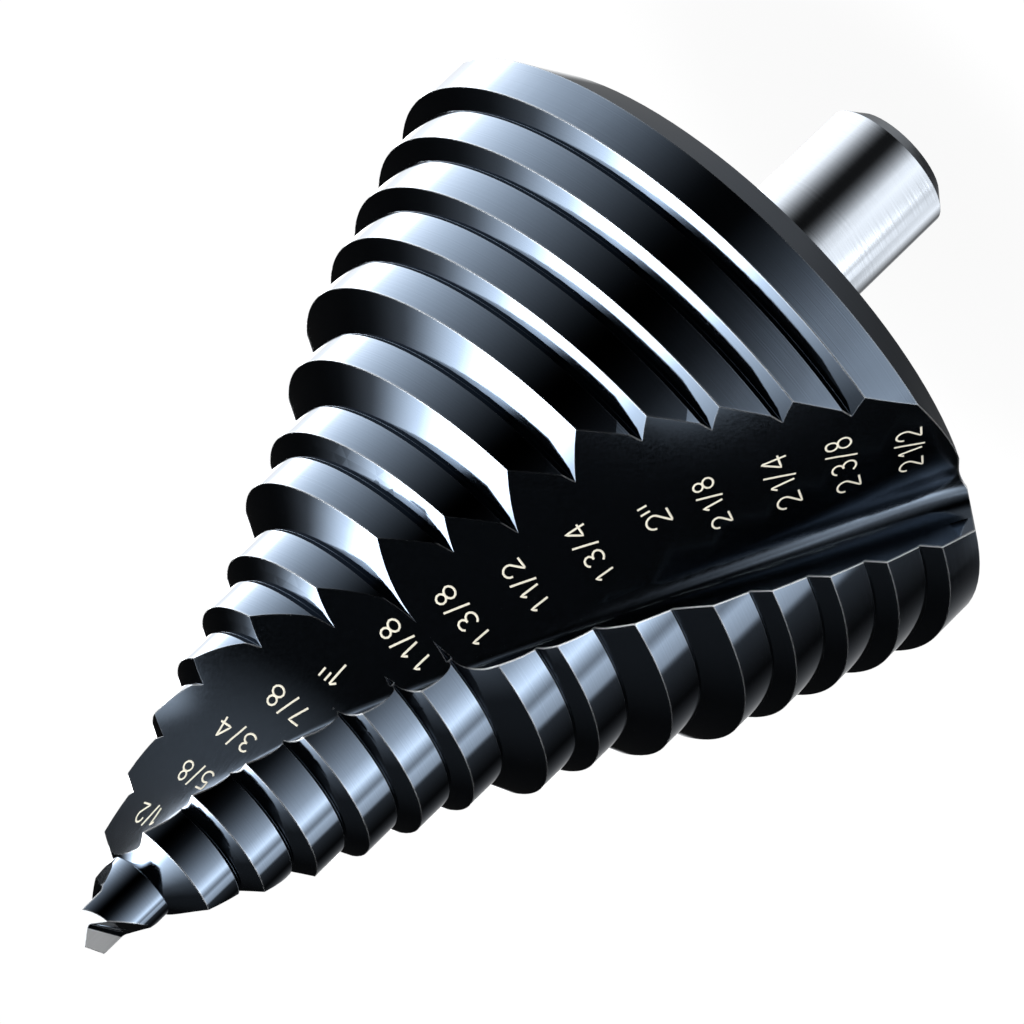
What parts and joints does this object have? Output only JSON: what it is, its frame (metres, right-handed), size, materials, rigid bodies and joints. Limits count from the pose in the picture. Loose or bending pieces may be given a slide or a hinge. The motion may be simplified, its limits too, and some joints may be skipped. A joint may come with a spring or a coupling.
{
  "type": "step drill",
  "caption": "Stepped cone cutter with a pilot point on top, helical flutes along its side and a round shank below, for drilling and widening holes in sheet and tube.",
  "frame": {"origin": "centre of the shank's flat end, on the axis the drill turns about", "axes": "+Z along that axis from the shank's end to the drill point; the first flute's cutting edge meets the rear end of the largest land 148 degrees clockwise from +X, seen from the point"},
  "size_m": [0.0634, 0.0634, 0.1003],
  "materials": {
    "coated_steel": "glossy blue-black coating, bright shank"
  },
  "bodies": {
    "root": {"step_drill": "coated_steel"}
  },
  "joints": []
}
